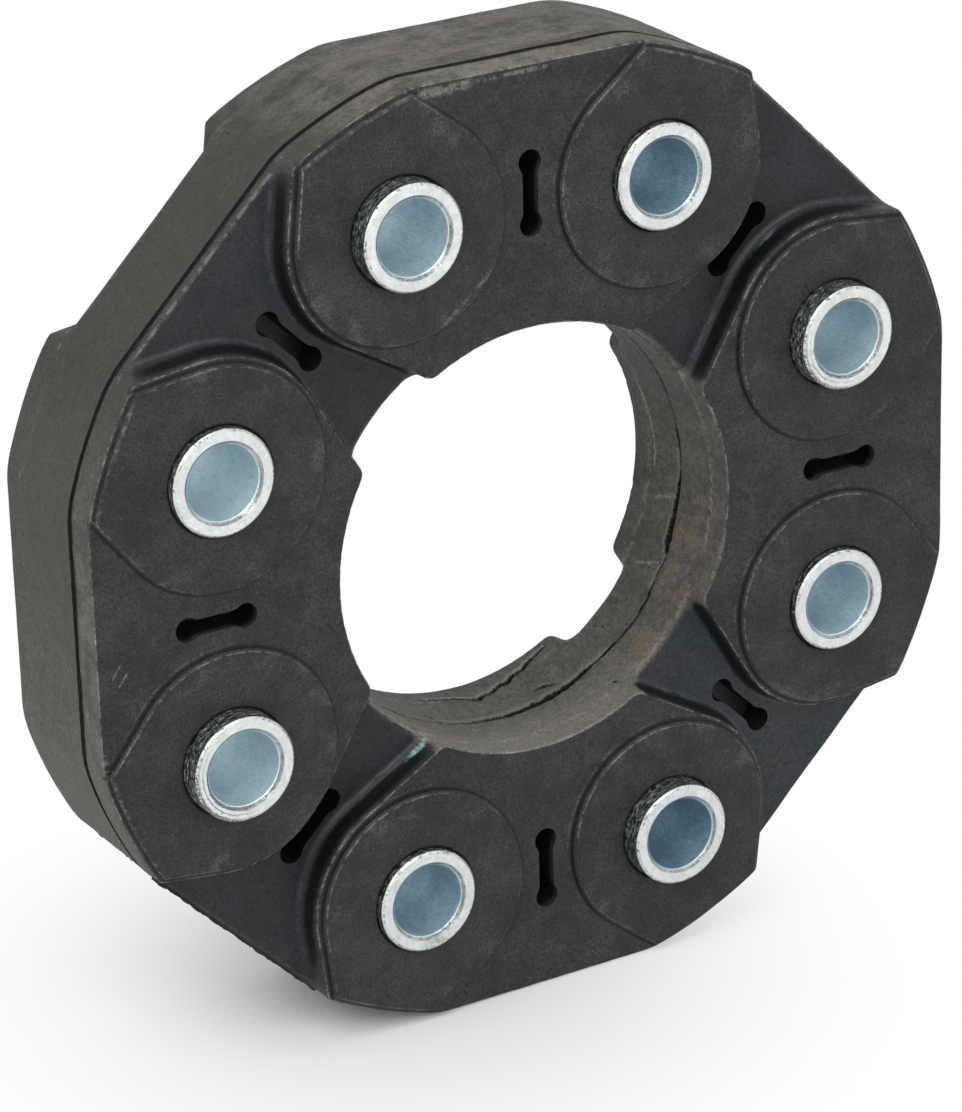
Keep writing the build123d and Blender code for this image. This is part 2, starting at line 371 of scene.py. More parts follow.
class MouldedRubber(Finish):
    """Black rubber: dark faces, brown bloom on the rim, a paler bore, and wear on the edges.

    Each method that takes the skin's colour so far gives it back with one more layer.
    """

    def __init__(self):
        super().__init__("moulded_rubber")

        # Where on the disc the place is, and how far it lies outside the nearest boss plate
        self.radius, self.inside = self.inside_outline()
        outward, sideways, self.hole, self.upper_left_of_hole = self.around_hole()
        self.off_middle = self.depth.maths("ABSOLUTE")
        self.square = self.facing()
        self.face = self.step(self.square, 0.75, 0.97)
        past_bore = self.step(self.radius, BORE_RADIUS + 0.6, BORE_RADIUS + 1.6)
        low = 1 - self.step(self.off_middle, THICK_HALF - 1.6, THICK_HALF - 0.6)
        self.valley = self.step(self.inside, 0.5, 1.2) * past_bore * low
        self.rim = (1 - self.step(self.inside, 0.5, 1.3)) * (1 - self.face)
        in_bore = 1 - self.step(self.radius, BORE_RADIUS + 0.9, BORE_RADIUS + 2.2)
        self.bore = in_bore * (1 - self.face)
        self.high = self.step(self.off_middle, THICK_HALF - 0.9, THICK_HALF - 0.4)
        tangent = outward * math.sin(SIDE_ANGLE) - sideways * math.cos(SIDE_ANGLE)
        straight = outward * math.cos(SIDE_ANGLE) + sideways * math.sin(SIDE_ANGLE) - BOSS_RADIUS
        on_side = self.step(tangent, -0.05, 0.05)
        self.plate = straight * on_side + (self.hole - BOSS_RADIUS) * (1 - on_side)

        # Patterns, from the coarsest to the finest
        self.clouds = self.noise(17.0, 3.0, 0.6)
        self.blotches = self.noise(4.2, 3.0, 0.62)
        self.drawn = self.noise(2.4, 3.0, 0.65, self.stretched(0.16, 1.0, 0.16))
        self.dragged = self.noise(3.0, 3.0, 0.6, self.stretched(1.0, 0.25, 1.0))
        self.mottle = self.noise(1.1, 2.0, 0.6)
        self.pepper = self.noise(0.42, 2.0, 0.8)
        self.grain = self.noise(0.22, 1.0, 0.6)
        self.broken = self.step(self.mottle * 0.45 + self.blotches * 0.55, 0.42, 0.60)

        # Fine cross scratches on the rear of the bore, and the smooth round of a valley's foot
        behind = self.bore * self.step(self.depth, 0.2, 1.2)
        nicks = self.scratches(1.5, 0.030, self.stretched(1.0, 0.35, 1.0))
        self.nicks = nicks * self.step(self.blotches, 0.44, 0.60) * behind
        self.foot = self.valley * self.near(self.square, 0.86, 0.12) * (1 - self.high)

    def faces(self):
        """Dark faces, and valleys with a sheen, paler where they open to the lower right, with
        painted shadow round three slots.
        """
        face_clouds = self.clouds * 0.45 + self.blotches * 0.4 + self.mottle * 0.15
        skin = self.mix(self.step(face_clouds, 0.36, 0.66), *FACE_PAIR)
        sheen = self.step(self.noise(9.0, 1.0, 0.5), 0.3, 0.7)
        valley_skin = self.mix(sheen, *VALLEY_PAIR)
        open_valley = self.step(self.across - self.up, 30.0, 90.0)
        open_skin = self.mix(sheen, *OPEN_VALLEY_PAIR)
        valley_skin = self.mix(open_valley * 0.8, valley_skin, open_skin)
        # Painted shadow: the valley floors round three of the slots are darkened where the plates
        # shade them
        painted_valley_shadow = (
            self.close_to((-40.0, -THIN_HALF, -38.0), 19.0)
            + self.close_to((40.0, -THIN_HALF, 39.0), 17.0)
            + self.close_to((-37.0, -THIN_HALF, 37.0), 20.0) * 0.6
        )
        valley_skin = self.mix(painted_valley_shadow * 0.85, valley_skin, VALLEY_SHADE)
        return self.mix(self.valley * 0.9, skin, valley_skin)

    def with_rim(self, skin):
        """Brownish bloom with streaks, scuffs, a rubbed lip, and light and shade painted by place.
        """
        blotches, clouds, mottle, drawn = self.blotches, self.clouds, self.mottle, self.drawn
        bloom = blotches * 0.45 + drawn * 0.12 + clouds * 0.28 + mottle * 0.15
        rim_skin = self.mix(self.step(bloom, 0.34, 0.66), *RIM_PAIR)
        # Painted shade: the rim is darker on its upper left
        upper_left = self.step(self.up - self.across, 55.0, 95.0)
        upper_left = upper_left * (1 - self.step(self.up, 70.0, 78.0))
        rim_skin = self.mix(upper_left * 0.80, rim_skin, RIM_SHADE)
        # Painted light: the rim is paler on its lower left, lit from the floor below, and a little
        # on the left
        bottom_left = self.step(-1 * (self.up + self.across), 78.0, 104.0)
        rim_skin = self.mix(bottom_left * 0.55, rim_skin, RIM_PAINTED_LIGHT)
        left = self.step(-1 * self.across, 68.0, 76.0)
        rim_skin = self.mix(left * 0.25, rim_skin, RIM_PAINTED_LIGHT)
        # The top of the rim is scuffed and painted paler, as light falls on it from above
        scuffs = blotches * 0.35 + drawn * 0.30 + clouds * 0.20 + mottle * 0.15
        scuffed_and_lit_top = self.step(self.up + clouds * 8 - 4, 66.0, 77.0) * self.step(scuffs, 0.38, 0.62)
        rim_skin = self.mix(scuffed_and_lit_top * 0.55, rim_skin, RIM_SCUFF_AND_TOP_LIGHT)
        skin = self.mix(self.rim, skin, rim_skin)

        # The front edge under the flash at the lower left is painted black, as the shadow under the
        # flash
        in_valley = 1 - self.step((self.up - self.across).maths("ABSOLUTE"), 24.0, 30.0)
        shadow_under_flash = in_valley * bottom_left * self.rim * self.step(-1 * self.depth, 7.9, 8.7)
        skin = self.mix(shadow_under_flash * 0.9, skin, RIM_EDGE_SHADOW)

        # The lip in front of the rim's groove is rubbed pale and painted lighter at the top and on
        # the left
        lip_band = self.rim * self.step(-1 * self.depth, 8.4, 9.4)
        rubbed_and_lit_lip = self.step(clouds * 0.35 + blotches * 0.45 + mottle * 0.2, 0.36, 0.64)
        at_top = self.near(self.across, -6.0, 26.0) * self.step(self.up, 68.0, 74.0)
        at_left = self.near(self.up, 2.0, 38.0) * left
        rubbed_and_lit_lip = rubbed_and_lit_lip * (at_top * 0.85 + at_left * 0.50)
        return self.mix(lip_band * rubbed_and_lit_lip, skin, RIM_LIP)

    def with_bore(self, skin):
        """Paler still, painted lighter low down and toward the front, with a painted highlight round
        the mouth and yellow-brown stains low on the right.
        """
        drag_marks = self.blotches * 0.35 + self.dragged * 0.35 + self.mottle * 0.3
        bore_skin = self.mix(self.step(drag_marks, 0.34, 0.66), *BORE_PAIR)
        # Painted light: the bore's lower wall, which faces up, and its front part are paler
        low = self.step(-1 * self.up - self.across * 0.3, 8.0, 36.0)
        toward_front = self.step(-1 * self.depth, 0.5, 11.0)
        bore_skin = self.mix(low * (toward_front * 0.55 + 0.15), bore_skin, BORE_PAINTED_LIGHT)
        skin = self.mix(self.bore, skin, bore_skin)
        # Painted highlight round the front edge of the bore, brightest low on the left
        mouth_highlight = self.near(self.radius, BORE_RADIUS + 0.35, 0.50)
        mouth_highlight = mouth_highlight * self.near(self.off_middle, THIN_HALF - 0.35, 0.8)
        mouth_highlight = mouth_highlight * (0.55 + self.close_to(on_bore(-127, -9.2), 18.0) * 0.45)
        skin = self.mix(mouth_highlight * self.broken, skin, BORE_MOUTH_HIGHLIGHT)
        stain = (
            self.close_to(on_bore(-15, -4.5), 9.0)
            + self.close_to(on_bore(-30, -6.5), 8.0)
            + self.close_to(on_bore(-47, -7.0), 9.0)
            + self.close_to(on_bore(-118, -6.0), 8.0) * 0.7
        )
        stain = stain * self.step(self.blotches * 0.6 + self.mottle * 0.4, 0.42, 0.62)
        return self.mix(stain * 0.8 * self.bore, skin, BORE_STAIN)

    def with_worn_edges_and_painted_light(self, skin):
        """Worn pale edges, painted shade on ledges and valley walls, painted highlights on edges and
        feet.
        """
        plate, high, mottle = self.plate, self.high, self.mottle
        edge = self.near(self.square, 0.80, 0.14) * high * (1 - self.near(plate, -0.25, 0.5))
        skin = self.mix(edge * self.broken * 0.65, skin, WORN_EDGE)
        # Painted shade: a dark line at the foot of each plate's edge
        ledge_shade = self.near(plate, 0.12, 0.30) * high
        skin = self.mix(ledge_shade * 0.7, skin, PLATE_LEDGE_SHADE)
        # Painted highlights along the plates' edges, brightest on the side of each hole toward the
        # upper left
        lit_side = self.step(self.upper_left_of_hole, 0.1, 0.9)
        line = self.near(plate, -0.47, 0.18) + self.near(plate, 0.75, 0.25) * lit_side * 0.35
        line = line * high * (1 - self.rim) * (0.25 + lit_side * 0.45)
        skin = self.mix(line * self.broken, skin, PLATE_EDGE_HIGHLIGHT)
        # Pale lines along the valleys' front edges, only at the upper left: wear, with painted light
        # where the light falls
        to_upper_left = self.step(self.up - self.across, 40.0, 80.0)
        worn_and_lit_valley_rim = self.near(self.inside, 0.42, 0.34)
        worn_and_lit_valley_rim = worn_and_lit_valley_rim * self.near(self.off_middle, THIN_HALF - 0.15, 0.5) * to_upper_left
        skin = self.mix(worn_and_lit_valley_rim * self.step(mottle, 0.36, 0.56) * 0.65, skin, VALLEY_RIM_WEAR_AND_LIGHT)
        worn_and_lit_valley_lip = self.rim * self.near(self.off_middle, THIN_HALF - 1.1, 0.22) * to_upper_left
        skin = self.mix(worn_and_lit_valley_lip * self.step(mottle, 0.38, 0.60) * 0.5, skin, VALLEY_LIP_WEAR_AND_LIGHT)
        # Painted shade: the steep walls of the valleys are darkened
        wall = self.valley * (1 - self.step(self.square, 0.45, 0.80)) * (1 - high)
        skin = self.mix(wall * 0.8, skin, VALLEY_WALL_SHADE)
        glint = self.foot * self.step(self.blotches, 0.42, 0.60) * 0.4
        return self.mix(glint, skin, VALLEY_GLINT)

    def with_dust_and_marks(self, skin):
        """Faint rubbed patches just inside the plates' edges, dust, single marks, some of them
        painted highlights, and pepper.
        """
        blotches, plate, high = self.blotches, self.plate, self.high
        rubbed_plate = self.near(plate, -1.6, 2.4) * high * self.face
        patches = self.step(blotches * 0.6 + self.clouds * 0.4, 0.53, 0.64)
        skin = self.mix(rubbed_plate * patches * 0.4, skin, PLATE_RUB)
        crumbly = self.near(plate, 0.6, 2.2) * high + self.step(self.inside, 6.0, 0.5) * high
        dusty = self.step(blotches, 0.45, 0.75) + crumbly * 0.6
        dust = self.specks(0.7, 0.15, 0.72) * dusty * (1 - self.bore * 0.6)
        skin = self.mix(dust * 0.6, skin, DUST)
        for start, end, reach, strength, tone in MARKS:
            mark = self.streak(start, end, reach) * self.step(self.mottle, 0.34, 0.56)
            skin = self.mix(mark * strength, skin, tone)
        peppered = (self.pepper - 0.5) * (3.4 - self.rim * 1.6 - self.bore * 1.4)
        shade = 1 + peppered + (self.mottle - 0.5) * 0.5
        return self.scaled(skin, shade.maths("MAXIMUM", 0.2))

    def with_cracks_and_painted_shade(self, skin):
        """Nicks, cracks painted dark and lit, and painted shade in the gap round each sleeve and in
        the rim's groove.
        """
        skin = self.mix(self.nicks * 0.55, skin, BORE_NICK)
        # Painted highlight on the cracks' lips and painted shade inside them
        skin = self.mix(self.attribute("lip"), skin, CRACK_LIP_HIGHLIGHT)
        skin = self.mix(self.attribute("crack"), skin, CRACK_SHADE)
        # Painted shade in the gap round each sleeve
        gap = 1 - self.step(self.hole, SLEEVE_RADIUS + 0.15, SLEEVE_RADIUS + 0.85)
        skin = self.mix(gap * 0.8, skin, GAP_SHADE)
        # Painted shade in the rim's groove
        seam = self.near(self.inside, 0.35, 0.60) * self.near(self.off_middle, 7.65, 0.90)
        seam = seam * (1 - self.step(self.depth, 0.0, 0.1))
        return self.mix(seam * 0.75, skin, GROOVE_SHADE)

    def finished(self):
        """The material, from its colour, roughness and relief."""
        rim, bore, grain = self.rim, self.bore, self.grain
        skin = self.with_bore(self.with_rim(self.faces()))
        skin = self.with_dust_and_marks(self.with_worn_edges_and_painted_light(skin))
        skin = self.with_cracks_and_painted_shade(skin)
        dull = 0.60 - self.valley * 0.20 - self.foot * 0.08 + (grain - 0.5) * 0.30
        height = (
            (grain - 0.5) * (0.030 - self.valley * 0.014)
            + (self.mottle - 0.5) * 0.040
            + (self.blotches - 0.5) * (0.10 + rim * 0.22 + bore * 0.15)
            - self.nicks * 0.10
            + (self.drawn - 0.5) * rim * 0.04
        )
        inputs = {
            "Base Color": skin,
            "Roughness": dull + rim * 0.08 + bore * 0.06,
            "Specular IOR Level": 0.30,
        }
        return self.surface(inputs, height)


# Colours of the plated steel
END_PAIR = (0.68, 0.715, 0.71), (0.83, 0.86, 0.85)
HOLE_PAIR = (0.28, 0.46, 0.56), (0.74, 0.87, 0.91)
SIDE_PAIR = (0.024, 0.028, 0.027), (0.22, 0.25, 0.25)
CHIP = (0.045, 0.048, 0.050)
SCRAPE = (0.09, 0.095, 0.095)
BEVEL_SHADE = (0.24, 0.26, 0.26)
BEVEL_STREAK = (0.10, 0.105, 0.11)
SCORE = (0.20, 0.21, 0.21)
SIDE_NICK = (0.62, 0.65, 0.64)
BROWN_SMEAR = (0.23, 0.165, 0.085)


def zinc_plated_steel():
    """Bright plated ends, blue-grey bores and dark, scratched sides."""
    steel = Finish("zinc_plated_steel")
    _, _, hole, upper_left_of_hole = steel.around_hole()
    facing = steel.facing()
    flat = steel.step(facing, 0.55, 0.9)
    inner = 1 - steel.step(hole, BOLT_HOLE_RADIUS + 0.02, BOLT_HOLE_RADIUS + 0.12)
    outer = steel.step(hole, SLEEVE_RADIUS - 0.10, SLEEVE_RADIUS - 0.02)
    bevel = steel.near(hole, BOLT_HOLE_RADIUS + 0.36, 0.34)
    grain = steel.noise(0.16, 2.0, 0.65)
    clouds = steel.noise(3.1, 4.0, 0.6)
    mottle = steel.noise(0.75, 4.0, 0.65)
    turned = steel.noise(0.5, 3.0, 0.6, steel.stretched(0.35, 1.6, 0.35))

    end = steel.mix(steel.step(clouds * 0.5 + mottle * 0.5, 0.38, 0.62), *END_PAIR)
    brushed = steel.noise(0.22, 3.0, 0.6, steel.stretched(1.0, 0.15, 1.0))
    to_left = steel.step(steel.up * 0.2 - steel.across, -35.0, 60.0)
    to_right = steel.step(steel.across, 35.0, 48.0)
    spread = (clouds * 0.25 + grain * 0.35 + brushed * 0.4 - 0.5) * 3.6
    bore = steel.mix(to_left * 0.78 + to_right * 0.60 + 0.15 + spread, *HOLE_PAIR)
    side = steel.mix(steel.step(turned * 0.6 + mottle * 0.4, 0.46, 0.60), *SIDE_PAIR)
    plating = steel.mix(inner, end, bore)
    plating = steel.mix(outer, plating, side)

    # Chips at the rims, dark streaks in the bevel, and scratches across the ends. Two of the
    # sleeves are battered at their lower left
    battered = steel.close_to((-62.0, -BOSS_HALF - 2, -28.0), 13.0)
    battered = battered + steel.close_to((49.0, -BOSS_HALF - 2, 18.0), 12.0) * 0.7
    rims = steel.near(hole, SLEEVE_RADIUS - 0.22, 0.40) + bevel
    chips = rims * steel.step(mottle * 0.55 + grain * 0.45 + battered * 0.11, 0.53, 0.585)
    plating = steel.mix(chips * 0.85, plating, CHIP)
    scraped = steel.step((hole * 9 + mottle * 9).maths("SINE"), 0.4, 0.95) * battered * flat
    plating = steel.mix(scraped * 0.85, plating, SCRAPE)
    shaded = 0.35 + steel.step(upper_left_of_hole.maths("ABSOLUTE"), 0.2, 0.9) * 0.45
    plating = steel.mix(bevel * shaded, plating, BEVEL_SHADE)
    streaks = bevel * steel.step(turned * 0.5 + grain * 0.5, 0.47, 0.58)
    plating = steel.mix(streaks * 0.7, plating, BEVEL_STREAK)
    scored = steel.scratches(2.2, 0.016, steel.stretched(1.0, 1.0, 0.45)) * flat
    plating = steel.mix(scored * 0.15, plating, SCORE)
    nicks = steel.noise(0.6, 2.0, 0.7, steel.stretched(0.5, 2.0, 0.5))
    nicks = outer * steel.step(nicks + battered * 0.05, 0.59, 0.64)
    plating = steel.mix(nicks * 0.85, plating, SIDE_NICK)

    # A brown smear low on the end of one sleeve
    lowest_left = math.radians(-112.5)
    smear_centre = (
        PITCH_RADIUS * math.cos(lowest_left) + 1.5,
        -BOSS_HALF - 1.2,
        PITCH_RADIUS * math.sin(lowest_left) - 7.0,
    )
    smear = steel.close_to(smear_centre, 4.0) * steel.step(mottle, 0.42, 0.56) * flat
    plating = steel.mix(smear * 0.7, plating, BROWN_SMEAR)

    bright = 0.92 - chips * 0.5 - smear * 0.6 - outer * 0.25 - inner * 0.12
    dull = 0.36 + inner * 0.14 + outer * 0.14 + (mottle - 0.5) * 0.22 + chips * 0.25 + smear * 0.2
    height = (grain - 0.5) * 0.016 + (mottle - 0.5) * 0.035 - chips * 0.05 - scored * 0.012
    return steel.surface({"Base Color": plating, "Metallic": bright, "Roughness": dull}, height)


# The width of one turn of cord
CORD_WIDTH = 0.95


def wound_cord():
    """Dipped polyester cord, wound turn beside turn."""
    cord = Finish("wound_cord")
    turns = (cord.depth * (2 * math.pi / CORD_WIDTH)).maths("SINE") * 0.5 + 0.5
    strands = cord.noise(0.35, 3.0, 0.6, cord.stretched(0.5, 1.4, 0.5))
    fibres = cord.noise(0.12, 2.0, 0.7)
    dip = cord.noise(3.5, 3.0, 0.6)
    shade = cord.mix(turns * 0.6 + strands * 0.4, (0.075, 0.048, 0.028), (0.42, 0.33, 0.22))
    shade = cord.mix(cord.step(dip, 0.5, 0.7) * 0.6, shade, (0.10, 0.055, 0.035))
    height = turns * 0.16 + (strands - 0.5) * 0.08 + (fibres - 0.5) * 0.03
    return cord.surface({"Base Color": shade, "Roughness": 0.78 - dip * 0.12}, height)


def collar_plastic():
    """Grey-green moulded guide collars, with flow marks and a fine mould grain."""
    plastic = Finish("collar_plastic")
    flow = plastic.noise(4.0, 3.0, 0.6, plastic.stretched(1.0, 0.4, 1.0), 0.8)
    grain = plastic.noise(0.25, 2.0, 0.6)
    shade = plastic.mix(plastic.step(flow, 0.35, 0.65), (0.060, 0.072, 0.066), (0.105, 0.118, 0.106))
    scuffs = plastic.scratches(2.5, 0.012)
    shade = plastic.mix(scuffs * 0.4, shade, (0.20, 0.21, 0.20))
    height = (grain - 0.5) * 0.02 + (flow - 0.5) * 0.05
    return plastic.surface({"Base Color": shade, "Roughness": 0.48 + (grain - 0.5) * 0.2}, height)


def dress(piece, material):
    piece.data.materials.clear()
    piece.data.materials.append(material)


def added(name, data):
    """A new object with that data, in the scene."""
    made = bpy.data.objects.new(name, data)
    bpy.context.scene.collection.objects.link(made)
    return made


rubber_material = MouldedRubber().finished()
steel_material = zinc_plated_steel()
cord_material = wound_cord()
collar_material = collar_plastic()
for name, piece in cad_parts.items():
    if "sleeve" in name:
        dress(piece, steel_material)
    elif "loop" in name:
        dress(piece, cord_material)
    elif "collar" in name:
        dress(piece, collar_material)
    else:
        dress(piece, rubber_material)


# Cracks in the wall of the open middle, as (angle in degrees, depth) points, with the
# half width and the depth of the opening at each
SEAM_CRACK = [
    (-134, -1.6, 0.10, 0.2),
    (-125, -0.8, 0.26, 0.5),
    (-121, -0.8, 0.38, 0.9),
    (-116, -0.4, 0.42, 1.0),
    (-109, -0.2, 0.37, 1.0),
    (-101, -0.5, 0.50, 1.2),
    (-92, -0.6, 0.63, 1.4),
    (-84, -0.8, 0.78, 1.6),
    (-76, -0.9, 0.82, 1.7),
    (-67, -0.6, 0.66, 1.5),
    (-60, -0.4, 0.42, 1.3),
    (-51, -0.8, 0.24, 0.8),
    (-43, -1.1, 0.26, 0.8),
    (-37, -0.9, 0.28, 0.9),
    (-31, -0.2, 0.24, 0.7),
    (-25, -0.4, 0.27, 0.8),
    (-21, 0.1, 0.72, 1.7),
    (-16.5, 0.3, 0.62, 1.7),
    (-12, 0.2, 0.46, 1.5),
    (-7, 0.2, 0.31, 1.2),
    (-1, -0.1, 0.17, 0.5),
    (10, 0.3, 0.10, 0.3),
]
TORN_CRACK = [
    (-104, 10.3, 0.16, 0.4),
    (-99, 9.8, 0.24, 0.7),
    (-95, 9.3, 0.30, 1.0),
    (-92, 7.9, 0.36, 1.2),
    (-89.3, 6.9, 0.46, 1.4),
    (-86.6, 7.9, 0.42, 1.3),
    (-84.5, 7.8, 0.42, 1.3),
    (-82, 8.7, 0.38, 1.2),
    (-80.5, 9.0, 0.42, 1.3),
    (-79, 8.7, 0.44, 1.3),
    (-76, 9.8, 0.42, 1.3),
    (-73, 10.0, 0.38, 1.2),
    (-69, 11.0, 0.36, 1.1),
    (-66, 11.4, 0.28, 0.9),
    (-63, 11.6, 0.12, 0.4),
]
SLIT = [
    (20.5, 10.0, 0.08, 0.10),
    (17, 9.2, 0.16, 0.15),
    (10, 8.3, 0.20, 0.20),
    (2, 7.6, 0.18, 0.20),
    (-4, 7.5, 0.10, 0.10),
]
GASH = [(-76, 2.9, 0.10, 0.2), (-73.5, 2.7, 0.40, 0.7), (-70.5, 1.6, 0.10, 0.2)]
TEAR = [(-110, 2.9, 0.10, 0.3), (-108.6, 1.5, 0.16, 0.5)]
SCORE_RIGHT = [(-12, 6.3, 0.10, 0.15), (-9.3, 0.8, 0.12, 0.2)]
SCORE_LOW = [(-30.5, 5.9, 0.08, 0.15), (-27.6, 0.8, 0.10, 0.2)]
DARK_CRACKS = [TORN_CRACK, SEAM_CRACK, GASH, TEAR]
PALE_CRACKS = [SLIT, SCORE_RIGHT, SCORE_LOW]

# How a crack wanders, how dark its painted shade is for its depth, and the raised lip along it,
# which is painted lit
CRACK_STEP = 0.15
RAGGED = 0.12
RAGGED_WIDTH = 0.3
CRACK_LOOK = 1.6
LIP_WIDTH = 0.8
LIP_HEIGHT = 0.12
LIP_NEEDS_DEPTH = 0.4
TORN_LIP_SHARE = 0.95
LIP_SHARE = 0.35
PALE_SHARE = 0.6

# The moulding rounds off the bends at both ends of each rounded corner of the rim
BEND_ROUND = 20.0
BEND_REACH = 2.6

# Its skin sinks by this on the mean, with a long and a short wave, each as size and height
MEAN_SINK = 0.05
LONG_WAVE, LONG_WAVE_HEIGHT = 9.0, 0.05
SHORT_WAVE, SHORT_WAVE_HEIGHT = 3.5, 0.04
WAVES_APART = 31.0
KEPT_ROUND_SLEEVE = 1.2

# The longest edges of the rubber's mesh, and its triangles once it is thinned out
FACE_MESH = 2.6
RIM_MESH = 2.0
BORE_MESH = 1.0
CRACK_MESH = 0.26
HIDDEN_MESH = 99.0
CRACK_REACH = 1.1
MOST_SPLITS = 9
SKIN_TRIANGLES = 195_000
WELD = 0.002
SHARP_ANGLE = math.radians(32)
POINTS_AT_A_TIME = 2000


def ragged_line(points):
    """A crack's points set close together, with its line and width made ragged."""
    points = np.array(points)
    along = np.radians(points[:, 0]) * BORE_RADIUS
    steps = np.hypot(np.diff(along), np.diff(points[:, 1]))
    run = np.concatenate([[0], np.cumsum(steps)])
    marks = np.arange(0, run[-1] + CRACK_STEP, CRACK_STEP)
    line = [
        np.interp(marks, run, column)
        for column in (along, points[:, 1], points[:, 2], points[:, 3])
    ]
    for index, mark in enumerate(marks):
        wander = noise.fractal((mark * 0.9, points[0, 0], 0.3), 0.8, 2.1, 3)
        breadth = noise.noise((mark * 1.3, points[0, 0], 7.7))
        line[1][index] += wander * RAGGED
        line[2][index] *= 1 + RAGGED_WIDTH * breadth
    return np.column_stack(line)


torn_points = ragged_line(TORN_CRACK)
dark_points = np.vstack([ragged_line(points) for points in DARK_CRACKS])
pale_points = np.vstack([ragged_line(points) for points in PALE_CRACKS])
crack_points = np.vstack([dark_points, pale_points])


def around_bore(places):
    """Places as distance round the bore, depth and radius."""
    radius = np.hypot(places[:, 0], places[:, 2])
    along = np.arctan2(places[:, 2], places[:, 0]) * BORE_RADIUS
    return along, places[:, 1], radius


def nearest_crack(along, depth):
    """The distance to the nearest crack, and the number of its nearest point."""
    distance = np.zeros(len(along))
    nearest = np.zeros(len(along), int)
    for start in range(0, len(along), POINTS_AT_A_TIME):
        part = slice(start, start + POINTS_AT_A_TIME)
        apart = np.hypot(
            along[part, None] - crack_points[None, :, 0],
            depth[part, None] - crack_points[None, :, 1],
        )
        nearest[part] = apart.argmin(axis=1)
        distance[part] = apart.min(axis=1)
    return distance, nearest


def inside_outline(places):
    """How far places lie inside the outline of the disc, and their distance from its axis."""
    radius = np.hypot(places[:, 0], places[:, 2])
    angle = np.arctan2(places[:, 2], places[:, 0])
    off = angle - np.round(angle / HOLE_STEP) * HOLE_STEP
    flat = FLAT_DISTANCE - radius * np.cos(off)
    return np.minimum(flat, CORNER_RADIUS - radius), radius


def wanted_length(places):
    """The longest edge that the mesh may have at each place."""
    inside, radius = inside_outline(places)
    limit = np.full(len(places), FACE_MESH)
    limit[inside < 1.0] = RIM_MESH
    off_middle = np.abs(places[:, 1])
    buried = (off_middle < BURIED_HALF) & (inside > 2.0) & (radius > BORE_RADIUS + 1.5)
    valley_floors = off_middle > THIN_HALF - 0.3
    limit[buried & ~valley_floors] = HIDDEN_MESH
    bore = radius < BORE_RADIUS + 0.9
    limit[bore] = BORE_MESH
    chosen = np.nonzero(bore)[0]
    along, depth, _ = around_bore(places[chosen])
    distance, _ = nearest_crack(along, depth)
    limit[chosen[distance < CRACK_REACH]] = CRACK_MESH
    return limit


def refine(work):
    """Split edges at their middles until none is longer than its place allows."""
    for _ in range(MOST_SPLITS):
        work.edges.ensure_lookup_table()
        ends = np.array([(*edge.verts[0].co, *edge.verts[1].co) for edge in work.edges]) / MM
        lengths = np.linalg.norm(ends[:, 3:] - ends[:, :3], axis=1)
        middles = (ends[:, :3] + ends[:, 3:]) / 2
        long_edges = np.nonzero(lengths > wanted_length(middles))[0]
        if len(long_edges) == 0:
            break
        chosen = [work.edges[index] for index in long_edges]
        bmesh.ops.bisect_edges(work, edges=chosen, cuts=1)
        wide = [face for face in work.faces if len(face.verts) > 3]
        bmesh.ops.triangulate(work, faces=wide, quad_method="BEAUTY", ngon_method="BEAUTY")


def thin_out(piece, wanted):
    """Collapse the edges that matter least, down to that many triangles."""
    collapse = piece.modifiers.new("collapse", "DECIMATE")
    collapse.ratio = min(1.0, wanted / len(piece.data.polygons))
    depsgraph = bpy.context.evaluated_depsgraph_get()
    ready = piece.evaluated_get(depsgraph)
    piece.data = bpy.data.meshes.new_from_object(
        ready, preserve_all_data_layers=True, depsgraph=depsgraph
    )
    piece.modifiers.remove(collapse)


def onto_bore(places, radius):
    """Put split walls of the open middle back on their round."""
    bore = np.abs(radius - BORE_RADIUS) < 0.05
    scale = np.ones(len(places))
    scale[bore] = BORE_RADIUS / radius[bore]
    places[:, 0] *= scale
    places[:, 2] *= scale


def round_bends(places, inside, radius):
    """Round off the bends of the rim."""
    corner_turn = math.acos(FLAT_DISTANCE / CORNER_RADIUS)
    angle = np.arctan2(places[:, 2], places[:, 0])
    off = np.abs(angle - np.round(angle / HOLE_STEP) * HOLE_STEP)
    from_bend = np.abs(off - corner_turn) * FLAT_DISTANCE
    run = BEND_ROUND * math.tan(corner_turn / 2)
    sag = np.clip(run - from_bend, 0, None) ** 2 / (2 * BEND_ROUND)
    inward = sag * np.clip(1 - inside / BEND_REACH, 0, 1)
    places[:, 0] *= 1 - inward / radius
    places[:, 2] *= 1 - inward / radius


def move(work, places):
    """Put the points of the mesh at their places."""
    for vert, place in zip(work.verts, places):
        vert.co = place * MM


def wave(place, size, height):
    return height * noise.noise((place[0] / size, place[1] / size, place[2] / size))


